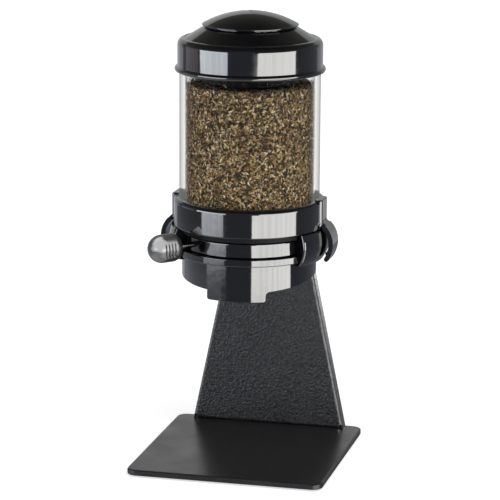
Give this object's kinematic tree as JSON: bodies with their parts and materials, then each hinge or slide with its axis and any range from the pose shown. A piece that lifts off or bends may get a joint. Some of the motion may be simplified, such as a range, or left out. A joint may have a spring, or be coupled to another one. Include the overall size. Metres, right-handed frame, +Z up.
{
  "type": "topping dispenser",
  "caption": "Counter-top dispenser for dry toppings: clear canister on a black metering head with a swing lever, side latches, domed lid and a folded steel stand.",
  "frame": {"origin": "on the counter under the middle of the base plate", "axes": "+Z up, front with the lever and outlet towards -Y, +X to the right seen from the front"},
  "size_m": [0.17, 0.177, 0.3889],
  "materials": {
    "powder_coat": "fine textured powder coat",
    "gloss_black": "polished moulded plastic",
    "clear_acrylic": "clear and polished",
    "black_rubber": "matte",
    "steel": "turned",
    "brass": "turned",
    "natural_nylon": "moulded",
    "tea_leaves": "loose cut leaf"
  },
  "bodies": {
    "stand": {"base_plate": "powder_coat", "base_feet": "black_rubber", "upright": "powder_coat", "upright_screws": "steel", "upright_nuts": "steel", "metering_housing": "gloss_black", "mount_inserts": "brass", "mount_screws": "steel", "inlet_plate": "gloss_black", "wiper_blade": "black_rubber", "upper_bush": "brass", "lower_bush": "brass", "stop_pin": "steel", "outlet_housing": "gloss_black", "outlet_chute": "gloss_black", "outlet_screws": "steel", "collar": "gloss_black", "collar_gasket": "black_rubber", "canister": "clear_acrylic", "tea_fill": "tea_leaves", "latch_pins": "steel"},
    "lever": {"rotor": "gloss_black", "spindle": "steel", "spindle_washer": "steel", "spindle_ring": "steel", "agitator": "natural_nylon", "lever_stem": "steel", "lever_knob": "gloss_black"},
    "lid": {"lid": "gloss_black", "lid_plug": "gloss_black", "lid_seal": "black_rubber", "lid_cap": "gloss_black"},
    "latch_left": {"latch_left": "gloss_black"},
    "latch_right": {"latch_right": "gloss_black"}
  },
  "joints": [
    {"name": "lever_swing", "type": "hinge", "parent": "stand", "child": "lever", "pos_m": [0, 0.0035, 0.1942], "axis": [0, 0, 1], "range_deg": [0, 84]},
    {"name": "lid_lift", "type": "slide", "parent": "stand", "child": "lid", "axis": [0, 0, 1], "range_m": [0, 0.045]},
    {"name": "latch_left_hinge", "type": "hinge", "parent": "stand", "child": "latch_left", "pos_m": [-0.064, 0.0035, 0.21098], "axis": [0, 1, 0], "range_deg": [0, 35]},
    {"name": "latch_right_hinge", "type": "hinge", "parent": "stand", "child": "latch_right", "pos_m": [0.064, 0.0035, 0.21098], "axis": [0, -1, 0], "range_deg": [0, 35]}
  ]
}
